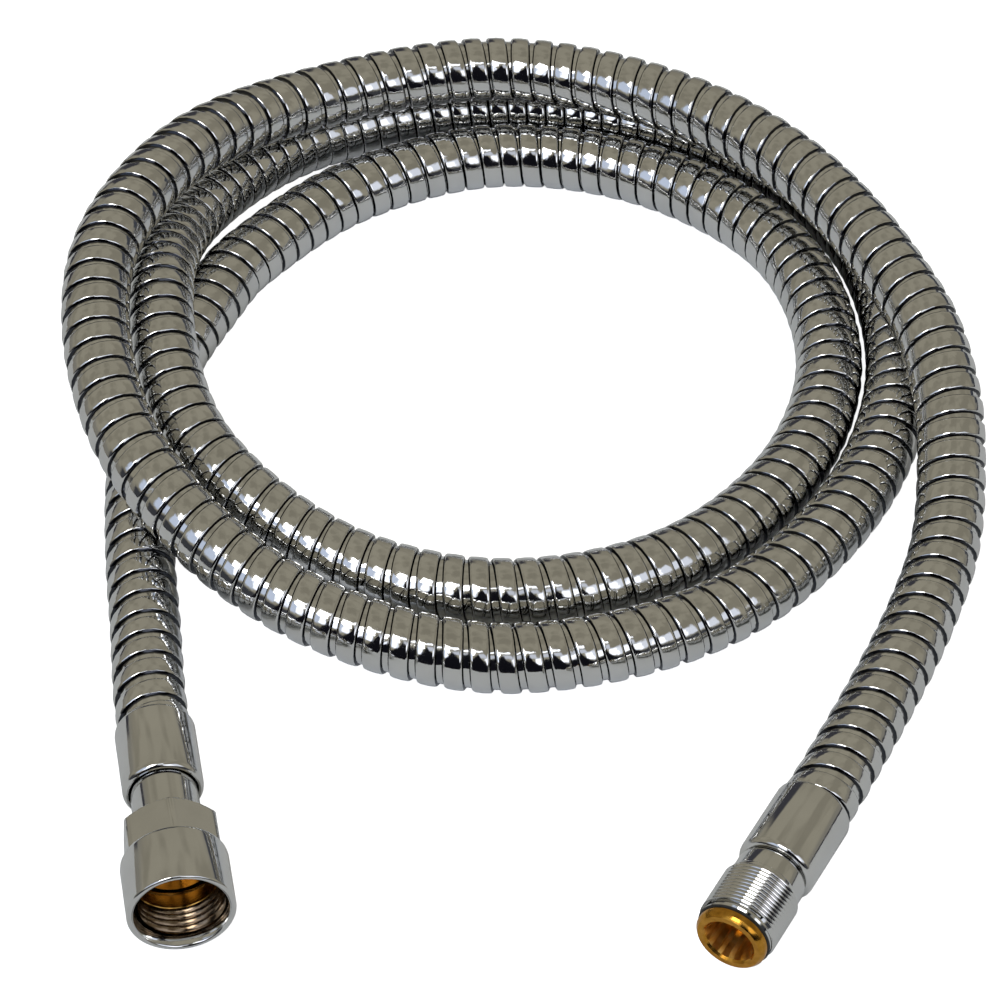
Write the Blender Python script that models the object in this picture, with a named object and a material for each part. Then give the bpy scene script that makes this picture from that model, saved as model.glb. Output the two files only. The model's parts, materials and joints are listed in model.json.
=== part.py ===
"""Flexible metal shower hose: a swivel nut at one end, a fine-thread connector at the other, laid in a loose coil.

All lengths are metres, +Z is up, and the hose lies on the plane z = 0. Each fitting is drawn along its own axis:
a "station" is the distance along that axis from the fitting's open end, negative towards the hose.
"""

import math

import bmesh
import bpy
from mathutils import Matrix, Vector

# ---- driving dimensions ----
GAP = 0.0003
HOSE_RADIUS = 0.0085
CASING_WALL = 0.0018
TUBE_RADIUS = 0.0061
TUBE_BORE_RADIUS = 0.0047

# nut end, for a G1/2 thread
NUT_RADIUS = 0.0122
NUT_BODY_LENGTH = 0.0151
NUT_LENGTH = 0.0255
HEX_ACROSS_FLATS = 0.0205
NUT_THREAD_RADIUS = 0.00932
NUT_THREAD_DEPTH = 0.0108
NUT_UNDERCUT_RADIUS = 0.0096
NUT_SHOULDER = 0.0184
NECK_RADIUS = 0.00775
FLANGE_RADIUS = 0.0091
FLANGE_FACE = 0.0150
NUT_FERRULE_RADIUS = 0.0093
NUT_FERRULE_FRONT = 0.0365
NUT_FERRULE_LENGTH = 0.0195

# connector end, for a fine thread 18.4 mm across
THREAD_RADIUS = 0.0092
THREAD_LENGTH = 0.014
COLLAR_RADIUS = 0.0083
COLLAR_END = 0.019
FERRULE_RADIUS = 0.0092
FERRULE_FRONT = 0.0195
FERRULE_LENGTH = 0.0205
KEY_HEAD_RADIUS = 0.0084
KEY_SHANK_RADIUS = 0.0072
KEY_BORE_RADIUS = 0.0057
KEY_TEETH = 12

# where the fittings lie: the middle of the open end, the heading from -Y towards +X, and the tilt upwards
NUT_MOUTH = (-0.0753, -0.1412, 0.01283)
NUT_HEADING = 9.8
NUT_TILT = 2.0
TIP_CENTRE = (0.0461, -0.1435, 0.00923)
TIP_HEADING = -28.7
TIP_TILT = 0.0

# the coil: radius and height of the hose's middle every 30 degrees, clockwise from above, from -X
COIL_CENTRE = (-0.0055, 0.042)
COIL_STEP = 30
INNER_TURN = (
    (0.0760, 0.0085), (0.0760, 0.0085), (0.0800, 0.0085), (0.0820, 0.0085), (0.0845, 0.0085), (0.0833, 0.0085),
    (0.0820, 0.0085), (0.0825, 0.0085), (0.0820, 0.0085), (0.0810, 0.0100), (0.0850, 0.0203), (0.0850, 0.0267),
)
MIDDLE_TURN = (
    (0.0925, 0.0165), (0.0996, 0.0094), (0.1000, 0.0085), (0.1020, 0.0085), (0.1040, 0.0085), (0.1010, 0.0085),
    (0.1000, 0.0085), (0.1025, 0.0085), (0.1030, 0.0085), (0.1030, 0.0155), (0.1030, 0.0285), (0.0995, 0.0380),
)
OUTER_TURN = (
    (0.0950, 0.0360), (0.0955, 0.0263), (0.0945, 0.0263), (0.0910, 0.0280), (0.0920, 0.0295), (0.1040, 0.0265),
)

# the stretches that aren't coiled, after the nut's ferrule and before the connector's
NUT_TAIL = (
    (-0.0895, -0.0500, 0.0090), (-0.0920, -0.0290, 0.0085), (-0.0938, -0.0040, 0.0085),
    (-0.0935, 0.0200, 0.0085), (-0.0885, 0.0430, 0.0085), (-0.0805, 0.0625, 0.0085),
)
CONNECTOR_TAIL = (
    (0.1046, 0.0160, 0.0205), (0.1045, -0.0060, 0.0130), (0.1015, -0.0260, 0.0093),
    (0.0945, -0.0470, 0.0085), (0.0850, -0.0690, 0.0085),
)
FERRULE_GRIP = 0.0100
TUBE_REACH = 0.0040
STRAIGHT_EXIT = 0.0110
SWEEP_POINTS = 80

# the casing's spans, as shares of the hose's length, named for where each lies
CASING_SPANS = (
    ("casing_nut_tail", 0.00, 0.10), ("casing_inner_back", 0.10, 0.22), ("casing_inner_front", 0.22, 0.36),
    ("casing_middle_back", 0.36, 0.51), ("casing_middle_front", 0.51, 0.67), ("casing_outer_left", 0.67, 0.80),
    ("casing_outer_back", 0.80, 0.91), ("casing_connector_tail", 0.91, 1.00),
)

CASING_SIDES = 12
TUBE_SIDES = 8
TURNED_SIDES = 48
SMALL_SIDES = 32

MATERIALS = {
    "chrome": ((0.78, 0.78, 0.77), 1.0, 0.08),
    "brass": ((0.78, 0.52, 0.20), 1.0, 0.22),
    "rubber": ((0.02, 0.02, 0.02), 0.0, 0.55),
    "epdm": ((0.05, 0.05, 0.05), 0.0, 0.60),
    "acetal": ((0.85, 0.85, 0.83), 0.0, 0.40),
    "stainless": ((0.62, 0.62, 0.62), 1.0, 0.30),
}


def clear_scene():
    for item in list(bpy.data.objects):
        bpy.data.objects.remove(item, do_unlink=True)


def make_material(kind, owner):
    colour, metallic, roughness = MATERIALS[kind]
    material = bpy.data.materials.new(owner + "_" + kind)
    material.use_nodes = True
    shader = material.node_tree.nodes["Principled BSDF"]
    shader.inputs["Base Color"].default_value = (*colour, 1.0)
    shader.inputs["Metallic"].default_value = metallic
    shader.inputs["Roughness"].default_value = roughness
    return material


def finish_mesh(name, mesh_data, kind, matrix):
    """Turns a bmesh into a named, smooth-shaded object with its own material, placed by the matrix."""
    bmesh.ops.recalc_face_normals(mesh_data, faces=mesh_data.faces)
    mesh = bpy.data.meshes.new(name)
    mesh_data.to_mesh(mesh)
    mesh_data.free()
    mesh.shade_smooth()
    mesh.materials.append(make_material(kind, name))
    item = bpy.data.objects.new(name, mesh)
    item.matrix_world = matrix
    bpy.context.scene.collection.objects.link(item)
    return item


def bridge(mesh_data, ring_a, ring_b):
    count = len(ring_a)
    for i in range(count):
        j = (i + 1) % count
        mesh_data.faces.new((ring_a[i], ring_a[j], ring_b[j], ring_b[i]))


# ---- cross-sections of the turned parts: the radius at an angle round the axis ----
def round_section(radius):
    return lambda angle: radius


def hexagon_section(across_flats, corner_limit):
    """A hexagon with a corner on top, cut back to a circle where its corners pass the limit."""
    def radius_at(angle):
        from_flat = (angle % (math.pi / 3)) - math.pi / 6
        return min(across_flats / 2 / math.cos(from_flat), corner_limit)
    return radius_at


def toothed_section(radius, depth, teeth):
    """A bore with square teeth that stand in from its wall."""
    def radius_at(angle):
        share = (angle * teeth / (2 * math.pi)) % 1.0
        return radius - depth if share < 0.49 else radius
    return radius_at


def axis_frame(origin, heading, tilt):
    """Places a fitting: its local +Z points out of its open end, and its local +X points up."""
    turn = math.radians(heading)
    rise = math.radians(tilt)
    out = Vector((math.sin(turn) * math.cos(rise), -math.cos(turn) * math.cos(rise), math.sin(rise)))
    side = out.cross(Vector((0, 0, 1))).normalized()
    top = side.cross(out)
    rotation = Matrix((top, out.cross(top), out)).transposed()
    return Matrix.Translation(origin) @ rotation.to_4x4()


def turned(name, outline, kind, frame, sides=TURNED_SIDES):
    """A ring-shaped part: the closed outline of (station, radius or section) is swept round the fitting's axis."""
    mesh_data = bmesh.new()
    rings = []
    for station, shape in outline:
        section = shape if callable(shape) else round_section(shape)
        ring = []
        for i in range(sides):
            angle = 2 * math.pi * i / sides
            radius = section(angle)
            ring.append(mesh_data.verts.new((radius * math.cos(angle), radius * math.sin(angle), station)))
        rings.append(ring)
    for i, ring in enumerate(rings):
        bridge(mesh_data, ring, rings[(i + 1) % len(rings)])
    return finish_mesh(name, mesh_data, kind, frame)


# ---- the hose's route ----
def along(frame, station):
    return frame @ Vector((0, 0, station))


def coil_points():
    points = []
    for i, (radius, height) in enumerate(INNER_TURN + MIDDLE_TURN + OUTER_TURN):
        angle = math.radians(COIL_STEP * (i + 1))
        x = COIL_CENTRE[0] - radius * math.cos(angle)
        y = COIL_CENTRE[1] + radius * math.sin(angle)
        points.append(Vector((x, y, height)))
    return points


def route_points(nut_frame, tip_frame):
    """The points that the hose's middle passes through, from inside one ferrule to inside the other."""
    nut_end = -(NUT_FERRULE_FRONT + NUT_FERRULE_LENGTH)
    tip_end = -(FERRULE_FRONT + FERRULE_LENGTH)
    points = [along(nut_frame, nut_end + FERRULE_GRIP), along(nut_frame, nut_end)]
    points.append(along(nut_frame, nut_end - STRAIGHT_EXIT))
    points += [Vector(point) for point in NUT_TAIL]
    points += coil_points()
    points += [Vector(point) for point in CONNECTOR_TAIL]
    points.append(along(tip_frame, tip_end - STRAIGHT_EXIT))
    points += [along(tip_frame, tip_end), along(tip_frame, tip_end + FERRULE_GRIP)]
    return points


class SmoothRoute:
    """A smooth curve through points, read by the distance along it."""

    def __init__(self, points, steps=16):
        chords = [0.0]
        for a, b in zip(points, points[1:]):
            chords.append(chords[-1] + (b - a).length)
        last = len(points) - 1
        slopes = []
        for i in range(len(points)):
            low = max(i - 1, 0)
            high = min(i + 1, last)
            slopes.append((points[high] - points[low]) / (chords[high] - chords[low]))
        self.samples = []
        for i in range(last):
            span = chords[i + 1] - chords[i]
            for k in range(steps):
                t = k / steps
                point = (
                    (2 * t**3 - 3 * t**2 + 1) * points[i]
                    + (t**3 - 2 * t**2 + t) * span * slopes[i]
                    + (3 * t**2 - 2 * t**3) * points[i + 1]
                    + (t**3 - t**2) * span * slopes[i + 1]
                )
                point.z = max(point.z, HOSE_RADIUS)
                self.samples.append(point)
        self.samples.append(points[-1].copy())
        self.distances = [0.0]
        for a, b in zip(self.samples, self.samples[1:]):
            self.distances.append(self.distances[-1] + (b - a).length)
        self.length = self.distances[-1]

    def at(self, distance):
        distance = min(max(distance, 0.0), self.length)
        i = 0
        while self.distances[i + 1] < distance:
            i += 1
        share = (distance - self.distances[i]) / (self.distances[i + 1] - self.distances[i])
        return self.samples[i].lerp(self.samples[i + 1], share)

    def heading(self, distance):
        return (self.at(distance + 0.001) - self.at(distance - 0.001)).normalized()


def swept_tube(name, route, distances, outer, inner, sides, kind):
    """An open tube whose rings stand square to the route, with a corner of each ring at its lowest point."""
    mesh_data = bmesh.new()
    loops = []
    for distance in distances:
        centre = route.at(distance)
        heading = route.heading(distance)
        side = heading.cross(Vector((0, 0, 1))).normalized()
        top = side.cross(heading)
        pair = []
        for radius in (outer, inner):
            ring = []
            for i in range(sides):
                angle = 2 * math.pi * i / sides
                offset = side * math.sin(angle) - top * math.cos(angle)
                ring.append(mesh_data.verts.new(centre + offset * radius))
            pair.append(ring)
        loops.append(pair)
    for (outer_a, inner_a), (outer_b, inner_b) in zip(loops, loops[1:]):
        bridge(mesh_data, outer_a, outer_b)
        bridge(mesh_data, inner_b, inner_a)
    bridge(mesh_data, loops[0][1], loops[0][0])
    bridge(mesh_data, loops[-1][0], loops[-1][1])
    return finish_mesh(name, mesh_data, kind, Matrix.Identity(4))


def make_casing(route):
    step = route.length / SWEEP_POINTS
    for name, start_share, end_share in CASING_SPANS:
        start = round(start_share * SWEEP_POINTS)
        end = round(end_share * SWEEP_POINTS)
        distances = [step * i for i in range(start, end + 1)]
        distances[0] += GAP / 2
        distances[-1] -= GAP / 2
        inner = HOSE_RADIUS - CASING_WALL
        swept_tube(name, route, distances, HOSE_RADIUS, inner, CASING_SIDES, "chrome")


def make_water_tube(route):
    """The rubber tube inside the casing. It reaches past the casing, into each ferrule's crimp ring."""
    step = route.length / SWEEP_POINTS
    distances = [step * i for i in range(SWEEP_POINTS + 1)]
    tube = swept_tube("water_tube", route, distances, TUBE_RADIUS, TUBE_BORE_RADIUS, TUBE_SIDES, "epdm")
    first = route.heading(0.0) * TUBE_REACH
    last = route.heading(route.length) * TUBE_REACH
    ring = 2 * TUBE_SIDES
    vertices = tube.data.vertices
    for i in range(ring):
        vertices[i].co -= first
        vertices[len(vertices) - ring + i].co += last


# ---- the nut end ----
def make_swivel_nut(frame):
    flat = HEX_ACROSS_FLATS / 2
    corner = HEX_ACROSS_FLATS / math.sqrt(3)
    rear = -NUT_LENGTH
    body_rear = -NUT_BODY_LENGTH
    bore = NECK_RADIUS + GAP
    outline = [
        (-0.0007, NUT_RADIUS),
        (body_rear + 0.0004, NUT_RADIUS - 0.0001),
        (body_rear, NUT_RADIUS - 0.0004),
        (body_rear, hexagon_section(HEX_ACROSS_FLATS, corner)),
        (rear + 0.0013, hexagon_section(HEX_ACROSS_FLATS, corner)),
        (rear + 0.0009, hexagon_section(HEX_ACROSS_FLATS, flat + 0.0009)),
        (rear + 0.0005, hexagon_section(HEX_ACROSS_FLATS, flat + 0.0003)),
        (rear, flat - 0.0005),
        (rear, bore),
        (-NUT_SHOULDER, bore),
        (-NUT_SHOULDER, NUT_UNDERCUT_RADIUS),
        (-NUT_THREAD_DEPTH - 0.0007, NUT_UNDERCUT_RADIUS),
        (-NUT_THREAD_DEPTH, NUT_THREAD_RADIUS),
        (-0.0015, NUT_THREAD_RADIUS),
        (-0.0001, NUT_RADIUS - 0.0014),
        (0.0, NUT_RADIUS - 0.0012),
        (0.0, NUT_RADIUS - 0.0007),
        (-0.0002, NUT_RADIUS - 0.0003),
    ]
    return turned("swivel_nut", outline, "chrome", frame)


def make_glide_ring(frame):
    front = -(NUT_SHOULDER - GAP - 0.0008)
    rear = -(NUT_SHOULDER - GAP)
    outline = [(front, FLANGE_RADIUS), (rear, FLANGE_RADIUS), (rear, NECK_RADIUS + GAP), (front, NECK_RADIUS + GAP)]
    return turned("nut_glide_ring", outline, "acetal", frame)


def barbed_stem(start, length, barbs, stem_radius, barb_radius):
    """The outline of a stem with saw-tooth barbs, from its root to its end."""
    pitch = length / barbs
    outline = []
    for i in range(barbs):
        root = start - i * pitch
        outline.append((root - 0.0002, stem_radius))
        outline.append((root - 0.0008, barb_radius))
        outline.append((root - pitch + 0.0004, stem_radius))
    return outline


def make_nut_nipple(frame):
    """The flange that the nut pulls on, the smooth neck that the nut slides on, and the barbed stem."""
    flange_rear = -(NUT_SHOULDER - 2 * GAP - 0.0008)
    neck_end = -(NUT_FERRULE_FRONT + 0.0032)
    stem_length = 0.012
    outline = [
        (-FLANGE_FACE - 0.0003, FLANGE_RADIUS),
        (flange_rear, FLANGE_RADIUS),
        (flange_rear, NECK_RADIUS),
        (neck_end, NECK_RADIUS),
    ]
    outline += barbed_stem(neck_end, stem_length, 4, 0.0035, 0.0040)
    outline += [
        (neck_end - stem_length, 0.0034),
        (neck_end - stem_length, 0.0027),
        (neck_end + 0.003, 0.0027),
        (neck_end + 0.005, 0.0048),
        (-FLANGE_FACE, 0.0048),
        (-FLANGE_FACE, FLANGE_RADIUS - 0.0004),
    ]
    return turned("nut_nipple", outline, "brass", frame, SMALL_SIDES)


def make_ferrule(name, frame, front, length, radius, lip_bore, lip_length, hollow_radius):
    """A thin pressed sleeve: a lip turned in over the fitting at the front, open to the hose at the rear."""
    rear = -(front + length)
    hose_bore = HOSE_RADIUS + GAP
    outline = [
        (-front, radius - 0.0012),
        (-front - 0.0002, radius - 0.0007),
        (-front - 0.0006, radius - 0.0002),
        (-front - 0.0012, radius),
        (rear + 0.0003, radius),
        (rear, radius - 0.0002),
        (rear, hose_bore),
        (rear + FERRULE_GRIP + GAP, hose_bore),
        (rear + FERRULE_GRIP + GAP, hollow_radius),
        (-front - lip_length, hollow_radius),
        (-front - lip_length, lip_bore),
        (-front, lip_bore),
    ]
    return turned(name, outline, "chrome", frame)


def make_crimp_ring(name, frame, rear):
    """The steel ring that presses the water tube onto the barbs."""
    inner = TUBE_RADIUS + GAP
    front = rear + 0.0030
    outline = [(front, 0.0078), (rear, 0.0078), (rear, inner), (front, inner)]
    return turned(name, outline, "stainless", frame, SMALL_SIDES)


def make_nut_end(frame):
    make_swivel_nut(frame)
    make_glide_ring(frame)
    make_nut_nipple(frame)
    bore = NECK_RADIUS + GAP
    ferrule_rear = -(NUT_FERRULE_FRONT + NUT_FERRULE_LENGTH)
    make_ferrule("nut_ferrule", frame, NUT_FERRULE_FRONT, NUT_FERRULE_LENGTH, NUT_FERRULE_RADIUS,
                 bore, 0.0015, 0.0084)
    make_crimp_ring("nut_crimp_ring", frame, ferrule_rear + FERRULE_GRIP + GAP)


# ---- the connector end ----
def make_threaded_connector(frame):
    """The chromed fitting: the fine thread, a plain collar, and the lipped spigot that turns in the ferrule."""
    spigot = 0.0070
    outline = [
        (0.0, THREAD_RADIUS - 0.0005),
        (-0.0005, THREAD_RADIUS),
        (-THREAD_LENGTH + 0.0003, THREAD_RADIUS),
        (-THREAD_LENGTH, THREAD_RADIUS - 0.0003),
        (-THREAD_LENGTH, COLLAR_RADIUS),
        (-COLLAR_END + 0.0003, COLLAR_RADIUS),
        (-COLLAR_END, COLLAR_RADIUS - 0.0003),
        (-COLLAR_END, spigot),
        (-0.0212, spigot),
        (-0.0212, 0.0079),
        (-0.0230, 0.0079),
        (-0.0230, 0.0061),
        (-0.0150, 0.0061),
        (-0.0150, 0.0045),
        (-0.0100, 0.0045),
        (-0.0100, KEY_SHANK_RADIUS + GAP),
        (0.0, KEY_SHANK_RADIUS + GAP),
    ]
    return turned("threaded_connector", outline, "chrome", frame)


def make_key_screw(frame):
    """The hollow brass screw in the connector's end, with a toothed bore for its key."""
    teeth = toothed_section(KEY_BORE_RADIUS, 0.0006, KEY_TEETH)
    outline = [
        (0.0033, KEY_HEAD_RADIUS - 0.0007),
        (0.0023, KEY_HEAD_RADIUS),
        (0.0010, KEY_HEAD_RADIUS),
        (0.0010, KEY_SHANK_RADIUS),
        (-0.0096, KEY_SHANK_RADIUS),
        (-0.0096, 0.0040),
        (-0.0050, 0.0040),
        (-0.0050, teeth),
        (0.0026, teeth),
        (0.0033, KEY_BORE_RADIUS + 0.0006),
    ]
    return turned("key_screw", outline, "brass", frame)


def seal_outline(front, rear, inner, outer):
    """A rubber ring with rounded edges."""
    bevel = (front - rear) * 0.3
    return [
        (front, inner + bevel), (front, outer - bevel), (front - bevel, outer), (rear + bevel, outer),
        (rear, outer - bevel), (rear, inner + bevel), (rear + bevel, inner), (front - bevel, inner),
    ]


def make_connector_nipple(frame):
    """The brass spigot that seals inside the connector, and the barbed stem that holds the water tube."""
    shoulder = -0.0233
    stem_start = -0.0252
    stem_length = 0.012
    outline = [
        (-0.0158, 0.0056),
        (-0.0162, 0.0058),
        (-0.0177, 0.0058),
        (-0.0177, 0.0046),
        (-0.0195, 0.0046),
        (-0.0195, 0.0058),
        (shoulder, 0.0058),
        (shoulder, 0.0079),
        (stem_start, 0.0079),
    ]
    outline += barbed_stem(stem_start, stem_length, 4, 0.0035, 0.0040)
    outline += [(stem_start - stem_length, 0.0034), (stem_start - stem_length, 0.0027), (-0.0158, 0.0027)]
    return turned("connector_nipple", outline, "brass", frame, SMALL_SIDES)


def make_connector_end(frame):
    make_threaded_connector(frame)
    make_key_screw(frame)
    turned("tip_o_ring", seal_outline(0.0008, 0.0002, 0.0075, 0.0088), "rubber", frame)
    make_connector_nipple(frame)
    turned("swivel_o_ring", seal_outline(-0.0179, -0.0193, 0.0048, 0.0060), "rubber", frame, SMALL_SIDES)
    make_ferrule("connector_ferrule", frame, FERRULE_FRONT, FERRULE_LENGTH, FERRULE_RADIUS, 0.0073, 0.0014, 0.0082)
    ferrule_rear = -(FERRULE_FRONT + FERRULE_LENGTH)
    make_crimp_ring("connector_crimp_ring", frame, ferrule_rear + FERRULE_GRIP + GAP)


def main():
    clear_scene()
    nut_frame = axis_frame(NUT_MOUTH, NUT_HEADING, NUT_TILT)
    tip_frame = axis_frame(TIP_CENTRE, TIP_HEADING, TIP_TILT)
    make_nut_end(nut_frame)
    make_connector_end(tip_frame)
    route = SmoothRoute(route_points(nut_frame, tip_frame))
    make_casing(route)
    make_water_tube(route)


main()
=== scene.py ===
"""The looks of the flexible metal shower hose: the wound casing, the fittings, floor, light and camera.

Lengths are metres. A fitting's "station" is the distance along its axis from its open end, and it is
negative towards the hose.
"""

import json
import math

import bmesh
import bpy
import numpy as np
from mathutils import Matrix, Vector


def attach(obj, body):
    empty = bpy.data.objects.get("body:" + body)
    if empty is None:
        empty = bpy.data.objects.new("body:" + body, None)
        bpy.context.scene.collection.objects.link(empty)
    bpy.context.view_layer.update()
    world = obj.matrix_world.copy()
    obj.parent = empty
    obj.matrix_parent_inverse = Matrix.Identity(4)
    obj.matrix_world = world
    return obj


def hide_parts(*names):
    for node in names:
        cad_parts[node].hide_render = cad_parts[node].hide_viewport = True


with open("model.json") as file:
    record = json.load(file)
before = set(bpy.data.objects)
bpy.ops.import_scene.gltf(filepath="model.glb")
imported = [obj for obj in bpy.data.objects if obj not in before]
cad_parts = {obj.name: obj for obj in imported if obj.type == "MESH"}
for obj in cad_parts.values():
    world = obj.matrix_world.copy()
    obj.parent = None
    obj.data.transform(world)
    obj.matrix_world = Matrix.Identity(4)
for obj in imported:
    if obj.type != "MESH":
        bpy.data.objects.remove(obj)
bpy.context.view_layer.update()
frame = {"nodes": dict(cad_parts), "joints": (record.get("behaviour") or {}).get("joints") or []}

# ---- the part's driving dimensions, as in its CAD ----
GAP = 0.0003
HOSE_RADIUS = 0.0085
NUT_RADIUS = 0.0122
NUT_BODY_LENGTH = 0.0151
NUT_LENGTH = 0.0255
HEX_ACROSS_FLATS = 0.0205
HEX_TURN_DEGREES = 4.0
NUT_THREAD_END = 0.0108
NUT_BORE_RADIUS = 0.0096
NUT_SHOULDER = 0.0184
NECK_RADIUS = 0.00775
FLANGE_RADIUS = 0.0091
FLANGE_FACE = 0.0150
NUT_FERRULE_RADIUS = 0.0093
NUT_FERRULE_FRONT = 0.0365
NUT_FERRULE_LENGTH = 0.0195
THREAD_RADIUS = 0.0092
THREAD_LENGTH = 0.014
COLLAR_RADIUS = 0.0083
COLLAR_END = 0.019
FERRULE_RADIUS = 0.0092
FERRULE_FRONT = 0.0195
FERRULE_LENGTH = 0.0205
KEY_HEAD_RADIUS = 0.0084
KEY_SHANK_RADIUS = 0.0072
KEY_BORE_RADIUS = 0.0057
KEY_TEETH = 12
KEY_TOOTH_DEPTH = 0.0006
KEY_TOOTH_SHARE = 0.49
KEY_HEAD_REAR = 0.0010
KEY_SHANK_LENGTH = 0.0096
KEY_SOCKET_DEPTH = 0.0050
STEM_RADIUS = 0.0035
STEM_BORE_RADIUS = 0.0027
STEM_LENGTH = 0.012
WATERWAY_RADIUS = 0.0048
SOCKET_REAR = 0.0230

# ---- details that only the visual model has ----
CHAMFER_LENGTH = 0.0014
CHAMFER_STEPS = 6
LIP_RADIUS = 0.0007
LIP_ARC = 150.0
LIP_STEPS = 8
NUT_WALL_RADIUS = 0.0108
NUT_MOUTH_DEPTH = 0.0024
NUT_THREAD_START = 0.0018
NUT_THREAD_PITCH = 0.001814
NUT_THREAD_CREST = 0.00935
NUT_THREAD_ROOT = 0.0104
CONNECTOR_THREAD_PITCH = 0.0010
CONNECTOR_THREAD_DEPTH = 0.0006
THREAD_RUN_OUT = 0.6
SEAL_STATION = 0.0005
SEAL_RADIUS = 0.00815
SEAL_HALF_LENGTH = 0.00033
SEAL_HALF_WIDTH = 0.00065
SEAL_SIDES = 16

# ---- the hose's route, as in its CAD ----
COIL_CENTRE = (-0.0055, 0.042)
COIL_STEP = 30
# (radius, height) of the hose's middle line at every step round the coil's centre
INNER_TURN = (
    (0.0760, 0.0085), (0.0760, 0.0085), (0.0800, 0.0085), (0.0820, 0.0085),
    (0.0845, 0.0085), (0.0833, 0.0085), (0.0820, 0.0085), (0.0825, 0.0085),
    (0.0820, 0.0085), (0.0810, 0.0100), (0.0850, 0.0203), (0.0850, 0.0267),
)
MIDDLE_TURN = (
    (0.0925, 0.0165), (0.0996, 0.0094), (0.1000, 0.0085), (0.1020, 0.0085),
    (0.1040, 0.0085), (0.1010, 0.0085), (0.1000, 0.0085), (0.1025, 0.0085),
    (0.1030, 0.0085), (0.1030, 0.0155), (0.1030, 0.0285), (0.0995, 0.0380),
)
OUTER_TURN = (
    (0.0950, 0.0360), (0.0955, 0.0263), (0.0945, 0.0263),
    (0.0910, 0.0280), (0.0920, 0.0295), (0.1040, 0.0265),
)
NUT_TAIL = (
    (-0.0895, -0.0500, 0.0090), (-0.0920, -0.0290, 0.0085), (-0.0938, -0.0040, 0.0085),
    (-0.0935, 0.0200, 0.0085), (-0.0885, 0.0430, 0.0085), (-0.0805, 0.0625, 0.0085),
)
CONNECTOR_TAIL = (
    (0.1046, 0.0160, 0.0205), (0.1045, -0.0060, 0.0130), (0.1015, -0.0260, 0.0093),
    (0.0945, -0.0470, 0.0085), (0.0850, -0.0690, 0.0085),
)
FERRULE_GRIP = 0.0100
STRAIGHT_EXIT = 0.0110

# ---- the casing's wound strip ----
BAND_WIDTH = 0.0045
BAND_CROWN = 0.00009
GROOVE_DEPTH = 0.0010
WALL_LEAN = 0.00034
EDGE_WIDTH = 0.00060
EDGE_KNEE = 0.00027
KNEE_DROP = 0.00015
EDGE_DROP = 0.00034
STRIP_START = 0.0004
STRIP_SEGMENTS = 24
# (distance along the hose, length of one turn of strip there): some stretches are pulled further apart
STRIP_PITCHES = (
    (0.00, 0.0070), (0.08, 0.0070), (0.18, 0.0058), (0.45, 0.0058), (0.55, 0.0062), (0.66, 0.0055),
    (0.85, 0.0054), (1.00, 0.0059), (1.15, 0.0061), (1.28, 0.0060), (1.35, 0.0072), (1.43, 0.0061),
    (1.53, 0.0064), (1.60, 0.0056), (1.66, 0.0067), (1.80, 0.0067),
)

# ---- the photograph's camera: square on to the fittings, looking down at 45 degrees ----
CAMERA_TARGET = (-0.0055, 0.0, 0.0)
CAMERA_DISTANCE = 0.9644
CAMERA_ELEVATION = 45.0
CAMERA_LENS = 140.4

# ---- the floor, a little below the hose so that the two surfaces never share a plane ----
FLOOR_SIZE = 0.7
FLOOR_DROP = 0.0003
FLOOR_COLOUR = (0.84, 0.87, 0.90)
FLOOR_GLOW = 0.95

# ---- the studio light, in degrees: azimuth 0 is the front and 90 is +X ----
# (azimuth range, elevation range, soft edge, colour), with later shapes over earlier ones
LIGHT_SHAPES = (
    ((90, 122), (-8, 2), 3.0, (0.05, 0.05, 0.06)),
    ((118, 162), (-11, 9), 3.0, (0.06, 0.065, 0.08)),
    ((-154, -126), (-8, 5), 3.0, (0.05, 0.05, 0.06)),
    ((-179, -152), (-6, 25), 5.0, (0.05, 0.05, 0.06)),
    ((-84, 68), (-14, 20), 8.0, (0.05, 0.052, 0.06)),
    ((-72, -34), (18, 54), 8.0, (0.66, 0.75, 0.94)),
    ((14, 66), (16, 46), 6.0, (0.90, 0.95, 1.08)),
    ((14, 40), (18, 42), 5.0, (1.70, 1.75, 1.90)),
    ((-4, 26), (40, 58), 6.0, (0.70, 0.74, 0.85)),
    ((-40, -15), (24, 54), 5.0, (1.60, 1.70, 1.95)),
    ((-14, 26), (58, 66), 3.0, (2.2, 2.3, 2.5)),
    ((-50, -11), (47, 66), 3.0, (7.0, 7.0, 7.1)),
)
CEILING_WARM = (0.338, 0.316, 0.250)
CEILING_COOL = (0.265, 0.246, 0.194)
HORIZON = (0.24, 0.23, 0.20)
DARK_ROOM = (0.006, 0.006, 0.009)
GROUND = (0.50, 0.50, 0.505)
DARK_ROOM_AZIMUTH = -3.0
DARK_ROOM_TOP = 58.0
DARK_ROOM_SPREAD = 0.7
HORIZON_FADE = (16.0, 2.0)
GROUND_FADE = (-7.0, -11.0)
ROOM_EDGE = 5.0
FOLD_SCALE = 2.2
FOLD_SPAN = (0.42, 0.58)

# ---- surfaces ----
CHROME_TONE = (0.72, 0.72, 0.71)
# painted shade: the groove walls get this near-black tone, where the real strip is the same chrome and only
# falls dark in the recess
GROOVE_SHADE_TONE = (0.045, 0.048, 0.056)
NOISE_SPAN = (0.3, 0.7)
TONE_SPAN = (0.35, 0.65)


# ================= mesh helpers =================
def link_mesh(name, vertices, faces, material, matrix=None, sharp_degrees=35.0):
    """A new object with smooth shading, and sharp edges where the surface turns by more than the angle."""
    mesh = bpy.data.meshes.new(name)
    mesh.from_pydata([tuple(v) for v in vertices], [], [tuple(f) for f in faces])
    mesh.validate()
    mesh.shade_smooth()
    mesh.set_sharp_from_angle(angle=math.radians(sharp_degrees))
    mesh.materials.append(material)
    item = bpy.data.objects.new(name, mesh)
    if matrix is not None:
        item.matrix_world = matrix
    bpy.context.scene.collection.objects.link(item)
    return item


def round_section(radius):
    return lambda angle: radius


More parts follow.
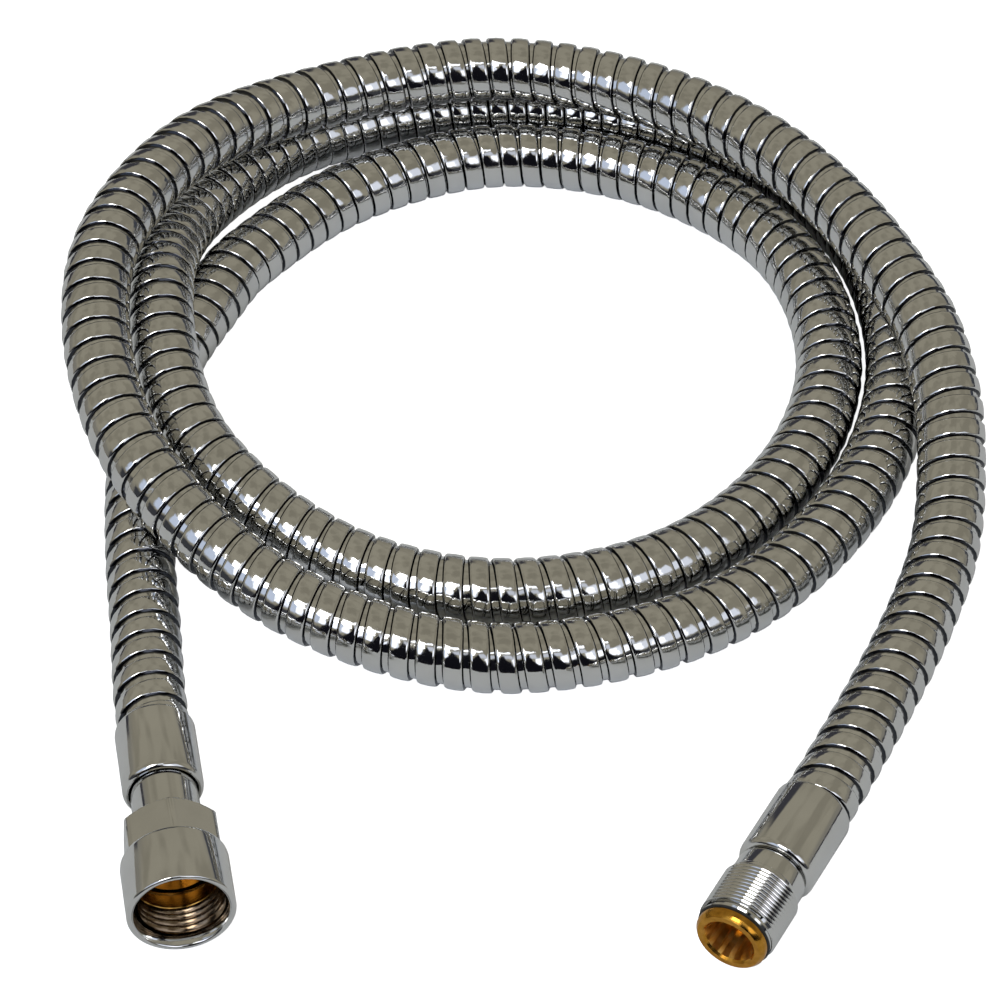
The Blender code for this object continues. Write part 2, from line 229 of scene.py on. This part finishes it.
def hexagon_section(across_flats, corner_limit):
    """A hexagon with a corner close to the top, cut back to a circle where its corners pass the limit."""
    def radius_at(angle):
        from_flat = ((angle + math.radians(HEX_TURN_DEGREES)) % (math.pi / 3)) - math.pi / 6
        return min(across_flats / 2 / math.cos(from_flat), corner_limit)
    return radius_at


def toothed_section(radius, depth, teeth):
    """A bore with straight teeth."""
    def radius_at(angle):
        share = (angle * teeth / (2 * math.pi)) % 1.0
        return radius - depth if share < KEY_TOOTH_SHARE else radius
    return radius_at


def axis_frame(origin, out):
    """Local +Z points out of the fitting's open end, and local +X points up."""
    out = Vector(out).normalized()
    side = out.cross(Vector((0, 0, 1))).normalized()
    top = side.cross(out)
    rotation = Matrix((top, out.cross(top), out)).transposed()
    return Matrix.Translation(origin) @ rotation.to_4x4()


def joint_frame(name):
    joint = next(j for j in frame["joints"] if j["name"] == name)
    return axis_frame(joint["pos_m"], joint["axis"])


def turned(name, outline, material, matrix, sides=96, sharp_degrees=35.0):
    """A ring-shaped piece: the closed outline of (station, radius or section) swept round the axis."""
    vertices = []
    for station, shape in outline:
        section = shape if callable(shape) else round_section(shape)
        for i in range(sides):
            angle = 2 * math.pi * i / sides
            radius = section(angle)
            vertices.append((radius * math.cos(angle), radius * math.sin(angle), station))
    faces = []
    count = len(outline)
    for ring in range(count):
        other = (ring + 1) % count
        for i in range(sides):
            j = (i + 1) % sides
            faces.append((ring * sides + i, ring * sides + j, other * sides + j, other * sides + i))
    item = link_mesh(name, vertices, faces, material, matrix, sharp_degrees)
    outward = bmesh.new()
    outward.from_mesh(item.data)
    bmesh.ops.recalc_face_normals(outward, faces=outward.faces)
    outward.to_mesh(item.data)
    outward.free()
    item.data.set_sharp_from_angle(angle=math.radians(sharp_degrees))
    return item


def rounded(outline, corner, steps=3):
    """The outline with each (station, radius) corner cut to a small curve."""
    result = []
    count = len(outline)
    for i, point in enumerate(outline):
        p = Vector(point)
        a = Vector(outline[i - 1]) - p
        b = Vector(outline[(i + 1) % count]) - p
        size = min(corner, a.length * 0.4, b.length * 0.4)
        start = p + a.normalized() * size
        end = p + b.normalized() * size
        for k in range(steps + 1):
            t = k / steps
            result.append(tuple(start * (1 - t) ** 2 + p * (2 * t * (1 - t)) + end * t ** 2))
    return result


# ================= the hose's route =================
def along(matrix, station):
    """The point on a fitting's axis at the station."""
    return matrix @ Vector((0, 0, station))


def coil_points():
    points = []
    for i, (radius, height) in enumerate(INNER_TURN + MIDDLE_TURN + OUTER_TURN):
        angle = math.radians(COIL_STEP * (i + 1))
        x = COIL_CENTRE[0] - radius * math.cos(angle)
        y = COIL_CENTRE[1] + radius * math.sin(angle)
        points.append(Vector((x, y, height)))
    return points


def route_points(nut_frame, tip_frame):
    nut_end = -(NUT_FERRULE_FRONT + NUT_FERRULE_LENGTH)
    tip_end = -(FERRULE_FRONT + FERRULE_LENGTH)
    points = [along(nut_frame, nut_end + FERRULE_GRIP), along(nut_frame, nut_end)]
    points.append(along(nut_frame, nut_end - STRAIGHT_EXIT))
    points += [Vector(point) for point in NUT_TAIL]
    points += coil_points()
    points += [Vector(point) for point in CONNECTOR_TAIL]
    points.append(along(tip_frame, tip_end - STRAIGHT_EXIT))
    points += [along(tip_frame, tip_end), along(tip_frame, tip_end + FERRULE_GRIP)]
    return points


def smooth_samples(points, steps=24):
    """Closely spaced samples of one smooth curve through the points."""
    points = np.array([tuple(p) for p in points])
    chords = np.concatenate([[0.0], np.cumsum(np.linalg.norm(np.diff(points, axis=0), axis=1))])
    slopes = np.empty_like(points)
    slopes[1:-1] = (points[2:] - points[:-2]) / (chords[2:] - chords[:-2])[:, None]
    slopes[0] = (points[1] - points[0]) / (chords[1] - chords[0])
    slopes[-1] = (points[-1] - points[-2]) / (chords[-1] - chords[-2])
    samples = []
    for i in range(len(points) - 1):
        span = chords[i + 1] - chords[i]
        for t in np.arange(steps) / steps:
            samples.append(
                (2 * t**3 - 3 * t**2 + 1) * points[i]
                + (t**3 - 2 * t**2 + t) * span * slopes[i]
                + (3 * t**2 - 2 * t**3) * points[i + 1]
                + (t**3 - t**2) * span * slopes[i + 1]
            )
    samples.append(points[-1])
    samples = np.array(samples)
    samples[:, 2] = np.maximum(samples[:, 2], HOSE_RADIUS)
    return samples


class Route:
    """The hose's middle line, with its side, top and bend at any distance along it."""

    def __init__(self, points):
        self.points = smooth_samples(points)
        steps = np.linalg.norm(np.diff(self.points, axis=0), axis=1)
        self.distances = np.concatenate([[0.0], np.cumsum(steps)])
        self.length = self.distances[-1]
        heading = np.gradient(self.points, self.distances, axis=0)
        heading /= np.linalg.norm(heading, axis=1)[:, None]
        side = np.cross(heading, (0.0, 0.0, 1.0))
        self.side = side / np.linalg.norm(side, axis=1)[:, None]
        self.top = np.cross(self.side, heading)
        self.bend = np.gradient(heading, self.distances, axis=0)

    def read(self, table, distances):
        """The rows of one of the route's tables at the distances."""
        return np.stack([np.interp(distances, self.distances, table[:, k]) for k in range(3)], axis=-1)


# ================= the casing =================
def strip_profile():
    """One turn of strip across its width, as (distance from the band's leading edge, radius).

    The band has rounded edges and stands on two steep walls above the recess between it and its neighbour.
    """
    crown = HOSE_RADIUS - BAND_CROWN
    knee = HOSE_RADIUS - KNEE_DROP
    edge = HOSE_RADIUS - EDGE_DROP
    recess = HOSE_RADIUS - GROOVE_DEPTH
    return np.array([
        (-WALL_LEAN, recess),
        (0.0, edge),
        (EDGE_KNEE, knee),
        (EDGE_WIDTH, crown),
        (BAND_WIDTH / 2, HOSE_RADIUS),
        (BAND_WIDTH - EDGE_WIDTH, crown),
        (BAND_WIDTH - EDGE_KNEE, knee),
        (BAND_WIDTH, edge),
        (BAND_WIDTH + WALL_LEAN, recess),
    ])


def strip_starts(route):
    """The distance along the hose of the strip's leading edge, at every segment of every turn."""
    stations, pitches = np.array(STRIP_PITCHES).T
    starts = [STRIP_START]
    while starts[-1] < route.length - pitches[-1] - BAND_WIDTH:
        starts.append(starts[-1] + np.interp(starts[-1], stations, pitches) / STRIP_SEGMENTS)
    return np.array(starts)


def make_casing(route, material, shaded_wall_material):
    """The casing as one right-handed strip.

    Its bands keep their width in a bend. The grooves between them open on the outside of the bend and close
    on the inside, as on the real hose.
    """
    profile = strip_profile()
    across = len(profile)
    starts = strip_starts(route)
    angles = 2 * math.pi * np.arange(len(starts)) / STRIP_SEGMENTS
    cos = np.cos(angles)[:, None]
    sin = np.sin(angles)[:, None]
    middle = starts + BAND_WIDTH / 2
    outward = route.read(route.top, middle) * cos + route.read(route.side, middle) * sin
    stretch = 1.0 - HOSE_RADIUS * np.sum(route.read(route.bend, middle) * outward, axis=1)
    vertices = np.empty((len(starts), across, 3))
    for k, (offset, radius) in enumerate(profile):
        distance = middle + (offset - BAND_WIDTH / 2) / stretch
        direction = route.read(route.top, distance) * cos + route.read(route.side, distance) * sin
        direction /= np.linalg.norm(direction, axis=1)[:, None]
        vertices[:, k] = route.read(route.points, distance) + direction * radius
    faces = []
    for i in range(len(starts) - 1):
        for k in range(across - 1):
            a = i * across + k
            faces.append((a, a + across, a + across + 1, a + 1))
        if i + STRIP_SEGMENTS + 1 < len(starts):
            a = i * across + across - 1
            b = (i + STRIP_SEGMENTS) * across
            faces.append((a, a + across, b + across, b))
    item = link_mesh("casing", vertices.reshape(-1, 3), faces, material, None, 50.0)
    # the walls down into each recess get the near-black material: painted shade in the grooves
    item.data.materials.append(shaded_wall_material)
    for polygon in item.data.polygons:
        if {v % across for v in polygon.vertices} in ({0, 1}, {across - 2, across - 1}):
            polygon.material_index = 1
    return item


# ================= materials =================
def new_material(name, colour, metallic, roughness):
    material = bpy.data.materials.new(name)
    material.use_nodes = True
    shader = material.node_tree.nodes["Principled BSDF"]
    shader.inputs["Base Color"].default_value = (*colour, 1.0)
    shader.inputs["Metallic"].default_value = metallic
    shader.inputs["Roughness"].default_value = roughness
    return material, material.node_tree, shader


def object_noise(tree, scale, detail):
    where = tree.nodes.new("ShaderNodeTexCoord")
    noise = tree.nodes.new("ShaderNodeTexNoise")
    noise.inputs["Scale"].default_value = scale
    noise.inputs["Detail"].default_value = detail
    tree.links.new(where.outputs["Object"], noise.inputs["Vector"])
    return noise


def vary(tree, source, target, low, high):
    """Feeds the socket a value between low and high that follows the noise."""
    spread = tree.nodes.new("ShaderNodeMapRange")
    spread.inputs["From Min"].default_value = NOISE_SPAN[0]
    spread.inputs["From Max"].default_value = NOISE_SPAN[1]
    spread.inputs["To Min"].default_value = low
    spread.inputs["To Max"].default_value = high
    tree.links.new(source, spread.inputs["Value"])
    tree.links.new(spread.outputs["Result"], target)


def vary_colour(tree, source, target, low, high):
    """Feeds the socket a colour between low and high that follows the noise."""
    ramp = tree.nodes.new("ShaderNodeValToRGB")
    for stop, position, colour in zip(ramp.color_ramp.elements, TONE_SPAN, (low, high)):
        stop.position = position
        stop.color = (*colour, 1.0)
    tree.links.new(source, ramp.inputs["Fac"])
    tree.links.new(ramp.outputs["Color"], target)


def add_bump(tree, shader, source, strength, distance):
    bump = tree.nodes.new("ShaderNodeBump")
    bump.inputs["Strength"].default_value = strength
    bump.inputs["Distance"].default_value = distance
    tree.links.new(source, bump.inputs["Height"])
    tree.links.new(bump.outputs["Normal"], shader.inputs["Normal"])


def chrome(name, bump, colour=CHROME_TONE):
    """Plating with faint smears, a slight change of tone and shallow waves."""
    material, tree, shader = new_material(name, colour, 1.0, 0.06)
    smear = object_noise(tree, 260.0, 4.0)
    vary(tree, smear.outputs["Fac"], shader.inputs["Roughness"], 0.035, 0.11)
    tone = object_noise(tree, 90.0, 2.0)
    darker = tuple(c * 0.93 for c in colour)
    vary_colour(tree, tone.outputs["Fac"], shader.inputs["Base Color"], darker, colour)
    waves = object_noise(tree, 420.0, 2.0)
    add_bump(tree, shader, waves.outputs["Fac"], bump, 0.0002)
    return material


def brass(name, low, high, roughness=0.16):
    """Turned brass, mottled between the two tones."""
    material, tree, shader = new_material(name, high, 1.0, roughness)
    tone = object_noise(tree, 500.0, 4.0)
    vary_colour(tree, tone.outputs["Fac"], shader.inputs["Base Color"], low, high)
    vary(tree, tone.outputs["Fac"], shader.inputs["Roughness"], roughness - 0.07, roughness + 0.08)
    add_bump(tree, shader, tone.outputs["Fac"], 0.2, 0.0001)
    return material


def dull(name, low, high, roughness):
    """Rubber or plain plastic: a soft mottle and a fine grain."""
    material, tree, shader = new_material(name, high, 0.0, roughness)
    grain = object_noise(tree, 1800.0, 3.0)
    vary_colour(tree, grain.outputs["Fac"], shader.inputs["Base Color"], low, high)
    vary(tree, grain.outputs["Fac"], shader.inputs["Roughness"], roughness - 0.1, roughness + 0.1)
    add_bump(tree, shader, grain.outputs["Fac"], 0.2, 0.00005)
    return material


def steel(name):
    """Plain steel with a dull grain."""
    material, tree, shader = new_material(name, (0.55, 0.55, 0.55), 1.0, 0.35)
    grain = object_noise(tree, 900.0, 4.0)
    vary(tree, grain.outputs["Fac"], shader.inputs["Roughness"], 0.25, 0.45)
    vary_colour(tree, grain.outputs["Fac"], shader.inputs["Base Color"], (0.48, 0.48, 0.48), (0.6, 0.6, 0.6))
    return material


# ================= fittings =================
def helical_thread(name, material, matrix, start, end, pitch, crest, root, inside, segments=72):
    """A thread's flanks as one right-handed helical surface between two stations."""
    turns = (end - start) / pitch
    count = int(turns * segments)
    profile = ((0.0, root), (0.40, crest), (0.60, crest))
    across = len(profile)
    vertices = []
    for i in range(count + 1):
        angle = 2 * math.pi * i / segments
        fade = min(1.0, min(i, count - i) / (segments * THREAD_RUN_OUT))
        for share, radius in profile:
            station = start + (i / segments + share - 0.5) * pitch
            height = root + (radius - root) * fade
            vertices.append((height * math.cos(angle), height * math.sin(angle), station))
    faces = []
    for i in range(count):
        for k in range(across - 1):
            a = i * across + k
            faces.append((a, a + across, a + across + 1, a + 1))
        if i + segments + 1 <= count:
            a = i * across + across - 1
            b = (i + segments) * across
            faces.append((a, a + across, b + across, b))
    if inside:
        faces = [tuple(reversed(face)) for face in faces]
    return link_mesh(name, vertices, faces, material, matrix, 70.0)


def nut_outline():
    """The chromed shell: a round body, a chamfered hexagonal collar and a rounded lip at the mouth."""
    flat = HEX_ACROSS_FLATS / 2
    corner = HEX_ACROSS_FLATS / math.sqrt(3)
    rear = -NUT_LENGTH
    body_rear = -NUT_BODY_LENGTH
    neck_bore = NECK_RADIUS + GAP
    bore_seat = NUT_BORE_RADIUS + 0.0002
    hexagon = hexagon_section(HEX_ACROSS_FLATS, corner)
    outline = [
        (body_rear + 0.0008, NUT_RADIUS),
        (body_rear + 0.0003, NUT_RADIUS - 0.00008),
        (body_rear, NUT_RADIUS - 0.0003),
        (body_rear, hexagon),
        (rear + CHAMFER_LENGTH, hexagon),
    ]
    for step in range(1, CHAMFER_STEPS + 1):
        share = step / CHAMFER_STEPS
        limit = corner + 0.0001 - share * (corner + 0.0001 - flat + 0.0005)
        outline.append((rear + CHAMFER_LENGTH * (1 - share), hexagon_section(HEX_ACROSS_FLATS, limit)))
    outline += [
        (rear, neck_bore),
        (-NUT_SHOULDER, neck_bore),
        (-NUT_SHOULDER, bore_seat),
        (-NUT_THREAD_END, bore_seat),
        (-NUT_THREAD_END, NUT_WALL_RADIUS),
        (-NUT_MOUTH_DEPTH, NUT_WALL_RADIUS),
        (-NUT_MOUTH_DEPTH, 0.0100),
        (-0.0013, 0.0103),
        (-0.00045, 0.01075),
        (-0.00045, 0.01095),
    ]
    for step in range(LIP_STEPS + 1):
        angle = math.radians(LIP_ARC - LIP_ARC * step / LIP_STEPS)
        station = -LIP_RADIUS + LIP_RADIUS * math.sin(angle)
        outline.append((station, NUT_RADIUS - LIP_RADIUS + LIP_RADIUS * math.cos(angle)))
    return outline


def make_nut(matrix, chrome_material, thread_material, brass_material):
    shell = turned("nut_shell", nut_outline(), chrome_material, matrix, 144, 30.0)
    thread = helical_thread("nut_thread", thread_material, matrix, -NUT_THREAD_END, -NUT_THREAD_START,
                            NUT_THREAD_PITCH, NUT_THREAD_CREST, NUT_THREAD_ROOT, True)
    bore_back = NUT_BORE_RADIUS + 0.00015
    bore = turned("nut_bore", [
        (-NUT_THREAD_END + 0.0008, 0.0106),
        (-NUT_THREAD_END + 0.0008, 0.0100),
        (-NUT_THREAD_END + 0.0004, NUT_BORE_RADIUS),
        (-NUT_SHOULDER + 0.0002, NUT_BORE_RADIUS),
        (-NUT_SHOULDER + 0.0002, bore_back),
        (-NUT_THREAD_END - 0.0001, bore_back),
        (-NUT_THREAD_END - 0.0001, 0.0106),
    ], brass_material, matrix, 96)
    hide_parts("swivel_nut")
    for piece in (shell, thread, bore):
        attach(piece, "nut")


def ferrule_outline(front, length, radius, lip_bore, lip_length, hollow_radius):
    """A sleeve that grips the casing at its rear, is hollow round the joint and has a rounded front."""
    rear = -(front + length)
    hose_bore = HOSE_RADIUS + 0.0002
    return [
        (-front - 0.00005, lip_bore + 0.0002),
        (-front, lip_bore + 0.0004),
        (-front - 0.00006, radius - 0.0012),
        (-front - 0.00028, radius - 0.00068),
        (-front - 0.00065, radius - 0.00030),
        (-front - 0.0011, radius - 0.00008),
        (-front - 0.0017, radius),
        (rear + 0.0008, radius),
        (rear + 0.0003, radius - 0.0001),
        (rear, radius - 0.0003),
        (rear, hose_bore),
        (rear + FERRULE_GRIP + GAP, hose_bore),
        (rear + FERRULE_GRIP + GAP, hollow_radius),
        (-front - lip_length, hollow_radius),
        (-front - lip_length, lip_bore),
        (-front - 0.0002, lip_bore),
    ]


def make_ferrules(nut_frame, tip_frame, material):
    nut_side = ferrule_outline(NUT_FERRULE_FRONT, NUT_FERRULE_LENGTH, NUT_FERRULE_RADIUS,
                               NECK_RADIUS + GAP, 0.0015, 0.0084)
    tip_side = ferrule_outline(FERRULE_FRONT, FERRULE_LENGTH, FERRULE_RADIUS, 0.0073, 0.0014, 0.0082)
    for name, node, outline, matrix in (
        ("nut_sleeve", "nut_ferrule", nut_side, nut_frame),
        ("connector_sleeve", "connector_ferrule", tip_side, tip_frame),
    ):
        sleeve = turned(name, outline, material, matrix, 120)
        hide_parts(node)
        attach(sleeve, "hose")


def make_nipple(matrix, brass_material, chrome_material):
    flange_rear = -(NUT_SHOULDER - 0.0014)
    neck_end = -(NUT_FERRULE_FRONT + 0.0032)
    stem_end = neck_end - STEM_LENGTH
    outline = [
        (-FLANGE_FACE - 0.0003, FLANGE_RADIUS),
        (flange_rear, FLANGE_RADIUS),
        (flange_rear, NECK_RADIUS),
        (neck_end, NECK_RADIUS),
        (neck_end, STEM_RADIUS),
        (stem_end, STEM_RADIUS),
        (stem_end, STEM_BORE_RADIUS),
        (neck_end + 0.003, STEM_BORE_RADIUS),
        (neck_end + 0.005, WATERWAY_RADIUS),
        (-FLANGE_FACE, WATERWAY_RADIUS),
        (-FLANGE_FACE, FLANGE_RADIUS - 0.0004),
    ]
    nipple = turned("nut_nipple_turned", rounded(outline, 0.0002), chrome_material, matrix, 96)
    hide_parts("nut_nipple")
    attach(nipple, "hose")
    face_front = -FLANGE_FACE + 0.00004
    face_back = -FLANGE_FACE - 0.0001
    face = turned("nipple_face", [
        (face_front, 0.0049),
        (face_front, FLANGE_RADIUS - 0.0005),
        (face_back, FLANGE_RADIUS - 0.0005),
        (face_back, 0.0049),
    ], brass_material, matrix, 96)
    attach(face, "hose")


def make_threaded_connector(matrix, material):
    root = THREAD_RADIUS - CONNECTOR_THREAD_DEPTH
    key_bore = KEY_SHANK_RADIUS + GAP
    core = turned("connector_core", [
        (0.0, root - 0.0003),
        (-0.0004, root),
        (-THREAD_LENGTH + 0.0002, root),
        (-THREAD_LENGTH, root - 0.0001),
        (-THREAD_LENGTH, COLLAR_RADIUS),
        (-COLLAR_END + 0.0010, COLLAR_RADIUS),
        (-COLLAR_END + 0.0005, COLLAR_RADIUS - 0.00012),
        (-COLLAR_END + 0.0001, COLLAR_RADIUS - 0.00045),
        (-COLLAR_END, COLLAR_RADIUS - 0.0009),
        (-COLLAR_END, 0.0070),
        (-0.0212, 0.0070),
        (-0.0212, 0.0079),
        (-SOCKET_REAR, 0.0079),
        (-SOCKET_REAR, 0.0061),
        (-0.0150, 0.0061),
        (-0.0150, 0.0045),
        (-0.0100, 0.0045),
        (-0.0100, key_bore),
        (0.0, key_bore),
    ], material, matrix, 120)
    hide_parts("threaded_connector")
    thread = helical_thread("connector_thread", material, matrix, -THREAD_LENGTH + 0.0006, -0.0005,
                            CONNECTOR_THREAD_PITCH, THREAD_RADIUS, root, False)
    for piece in (core, thread):
        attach(piece, "connector")


def make_key_screw(matrix, brass_material, lit_socket_material):
    """The screw is plain inside. Its splines are a second piece, a hair inside the bore."""
    bore = KEY_BORE_RADIUS + 0.0001
    spline_back = KEY_BORE_RADIUS + 0.00009
    spline_end = -KEY_SOCKET_DEPTH + 0.0001
    teeth = toothed_section(KEY_BORE_RADIUS, KEY_TOOTH_DEPTH, KEY_TEETH)
    key = turned("key_screw_turned", [
        (0.0033, KEY_HEAD_RADIUS - 0.0008),
        (0.0031, KEY_HEAD_RADIUS - 0.0006),
        (0.0024, KEY_HEAD_RADIUS - 0.0001),
        (0.0022, KEY_HEAD_RADIUS),
        (KEY_HEAD_REAR, KEY_HEAD_RADIUS),
        (KEY_HEAD_REAR, KEY_SHANK_RADIUS),
        (-KEY_SHANK_LENGTH, KEY_SHANK_RADIUS),
        (-KEY_SHANK_LENGTH, 0.0040),
        (-KEY_SOCKET_DEPTH, 0.0040),
        (-KEY_SOCKET_DEPTH, bore),
        (0.0027, bore),
        (0.0033, KEY_BORE_RADIUS + 0.0006),
    ], brass_material, matrix, 144, 30.0)
    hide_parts("key_screw")
    # the splines take a lighter brass than the head: painted light, brightening the deep socket that would
    # fall into shade
    splines = turned("key_splines", [
        (0.0028, spline_back),
        (spline_end, spline_back),
        (spline_end, teeth),
        (KEY_HEAD_REAR, teeth),
    ], lit_socket_material, matrix, 144, 30.0)
    for piece in (key, splines):
        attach(piece, "connector")


def make_tip_seal(matrix, material):
    outline = []
    for step in range(SEAL_SIDES):
        angle = 2 * math.pi * step / SEAL_SIDES
        station = SEAL_STATION + SEAL_HALF_LENGTH * math.sin(angle)
        outline.append((station, SEAL_RADIUS + SEAL_HALF_WIDTH * math.cos(angle)))
    ring = turned("tip_o_ring_round", outline, material, matrix, 120, 60.0)
    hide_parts("tip_o_ring")
    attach(ring, "connector")


# ================= camera, light and floor =================
def make_camera():
    data = bpy.data.cameras.new("camera")
    data.lens = CAMERA_LENS
    data.sensor_width = 36.0
    data.clip_start = 0.05
    data.clip_end = 20.0
    camera = bpy.data.objects.new("camera", data)
    tilt = math.radians(CAMERA_ELEVATION)
    back = Vector((0.0, -math.cos(tilt), math.sin(tilt)))
    camera.location = Vector(CAMERA_TARGET) + back * CAMERA_DISTANCE
    camera.rotation_euler = (math.radians(90.0) - tilt, 0.0, 0.0)
    bpy.context.scene.collection.objects.link(camera)
    bpy.context.scene.camera = camera


def make_floor():
    """A pale floor that looks white from the camera. The chrome reflects its true shaded grey."""
    bpy.ops.mesh.primitive_plane_add(size=FLOOR_SIZE, location=(0.0, 0.0, -FLOOR_DROP))
    floor = bpy.context.object
    floor.name = "floor"
    material, tree, shader = new_material("floor_white", FLOOR_COLOUR, 0.0, 0.9)
    shader.inputs["Emission Color"].default_value = (1.0, 1.0, 1.0, 1.0)
    rays = tree.nodes.new("ShaderNodeLightPath")
    glow = tree.nodes.new("ShaderNodeMath")
    glow.operation = "MULTIPLY"
    tree.links.new(rays.outputs["Is Camera Ray"], glow.inputs[0])
    glow.inputs[1].default_value = FLOOR_GLOW
    tree.links.new(glow.outputs["Value"], shader.inputs["Emission Strength"])
    floor.data.materials.append(material)


def make_world():
    """Soft studio surroundings: a warm grey tent, softboxes beside a dark room in front, and grey ground."""
    world = bpy.data.worlds.new("studio")
    bpy.context.scene.world = world
    world.use_nodes = True
    tree = world.node_tree
    tree.nodes.clear()
    out = tree.nodes.new("ShaderNodeOutputWorld")
    shade = tree.nodes.new("ShaderNodeBackground")
    where = tree.nodes.new("ShaderNodeTexCoord")
    split = tree.nodes.new("ShaderNodeSeparateXYZ")
    tree.links.new(where.outputs["Generated"], split.inputs["Vector"])

    def calculate(kind, *values):
        node = tree.nodes.new("ShaderNodeMath")
        node.operation = kind
        for socket, value in zip(node.inputs, values):
            if isinstance(value, (int, float)):
                socket.default_value = value
            else:
                tree.links.new(value, socket)
        return node.outputs["Value"]

    def rise(value, low, high):
        node = tree.nodes.new("ShaderNodeMapRange")
        node.interpolation_type = "SMOOTHSTEP"
        tree.links.new(value, node.inputs["Value"])
        node.inputs["From Min"].default_value = low
        node.inputs["From Max"].default_value = high
        return node.outputs["Result"]

    def between(value, low, high, soft):
        above = rise(value, low, low + soft)
        below = calculate("SUBTRACT", 1.0, rise(value, high - soft, high))
        return calculate("MULTIPLY", above, below)

    def mix(share, a, b):
        node = tree.nodes.new("ShaderNodeMix")
        node.data_type = "RGBA"
        for socket, value in ((node.inputs[0], share), (node.inputs[6], a), (node.inputs[7], b)):
            if isinstance(value, tuple):
                socket.default_value = (*value, 1.0)
            else:
                tree.links.new(value, socket)
        return node.outputs[2]

    x, y, z = (split.outputs[k] for k in range(3))
    to_degrees = 180.0 / math.pi
    elevation = calculate("MULTIPLY", calculate("ARCSINE", z), to_degrees)
    azimuth = calculate("MULTIPLY", calculate("ARCTAN2", x, calculate("MULTIPLY", y, -1.0)), to_degrees)

    folds = tree.nodes.new("ShaderNodeTexNoise")
    folds.inputs["Scale"].default_value = FOLD_SCALE
    folds.inputs["Detail"].default_value = 2.0
    tree.links.new(where.outputs["Generated"], folds.inputs["Vector"])
    colour = mix(rise(folds.outputs["Fac"], *FOLD_SPAN), CEILING_COOL, CEILING_WARM)
    colour = mix(rise(elevation, *HORIZON_FADE), colour, HORIZON)
    for (west, east), (low, high), soft, light in LIGHT_SHAPES:
        box = calculate("MULTIPLY", between(azimuth, west, east, soft), between(elevation, low, high, soft))
        colour = mix(box, colour, light)
    off_centre = calculate("ABSOLUTE", calculate("SUBTRACT", azimuth, DARK_ROOM_AZIMUTH))
    reach = calculate("SUBTRACT", DARK_ROOM_TOP, elevation)
    half_width = calculate("MULTIPLY", reach, DARK_ROOM_SPREAD)
    room = rise(calculate("SUBTRACT", half_width, off_centre), 0.0, ROOM_EDGE)
    colour = mix(room, colour, DARK_ROOM)
    colour = mix(rise(elevation, *GROUND_FADE), colour, GROUND)
    rays = tree.nodes.new("ShaderNodeLightPath")
    colour = mix(rays.outputs["Is Camera Ray"], colour, (1.0, 1.0, 1.0))
    tree.links.new(colour, shade.inputs["Color"])
    tree.links.new(shade.outputs["Background"], out.inputs["Surface"])


def lay_hose(route):
    """The casing in place of its CAD spans, which it hides, attached to the hose's body."""
    # the groove walls' dark chrome is painted shade, not a different finish
    groove_shade_chrome = chrome("chrome_groove_painted_shade", 0.1, GROOVE_SHADE_TONE)
    casing = make_casing(route, chrome("chrome_strip", 0.3), groove_shade_chrome)
    spans = [name for name in frame["nodes"] if name.startswith("casing_")]
    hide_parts(*spans)
    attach(casing, "hose")


def main():
    bpy.context.scene.view_settings.view_transform = "Standard"
    make_camera()
    make_world()
    make_floor()

    nut_frame = joint_frame("nut_swivel")
    tip_frame = joint_frame("connector_swivel")
    lay_hose(Route(route_points(nut_frame, tip_frame)))

    smooth_chrome = chrome("chrome_fitting", 0.05)
    bright_brass = brass("brass_turned", (0.48, 0.22, 0.025), (0.66, 0.33, 0.05))
    # lighter than the key's own brass: painted light for the inside of the socket
    lit_socket_brass = brass("brass_socket_painted_light", (0.82, 0.50, 0.12), (0.94, 0.64, 0.22), 0.36)
    bore_brass = brass("brass_bore", (0.42, 0.24, 0.06), (0.56, 0.34, 0.10))
    # the nut's inner thread: brass given a far darker tone than the brass elsewhere
    dark_thread_brass = brass("brass_thread_darker", (0.16, 0.11, 0.065), (0.30, 0.23, 0.16))
    black_rubber = dull("black_rubber", (0.012, 0.012, 0.012), (0.03, 0.03, 0.03), 0.55)
    make_nut(nut_frame, smooth_chrome, dark_thread_brass, bore_brass)
    make_ferrules(nut_frame, tip_frame, smooth_chrome)
    make_nipple(nut_frame, bore_brass, smooth_chrome)
    make_threaded_connector(tip_frame, smooth_chrome)
    make_key_screw(tip_frame, bright_brass, lit_socket_brass)
    make_tip_seal(tip_frame, black_rubber)

    # the CAD pieces that stay: all are hidden or nearly so
    finishes = {
        "water_tube": black_rubber,
        "swivel_o_ring": black_rubber,
        "connector_nipple": bright_brass,
        "nut_crimp_ring": steel("steel_ring"),
        "connector_crimp_ring": steel("steel_ring_far"),
        "nut_glide_ring": dull("white_acetal", (0.75, 0.75, 0.73), (0.85, 0.85, 0.83), 0.45),
    }
    for name, material in finishes.items():
        frame["nodes"][name].material_slots[0].material = material


main()
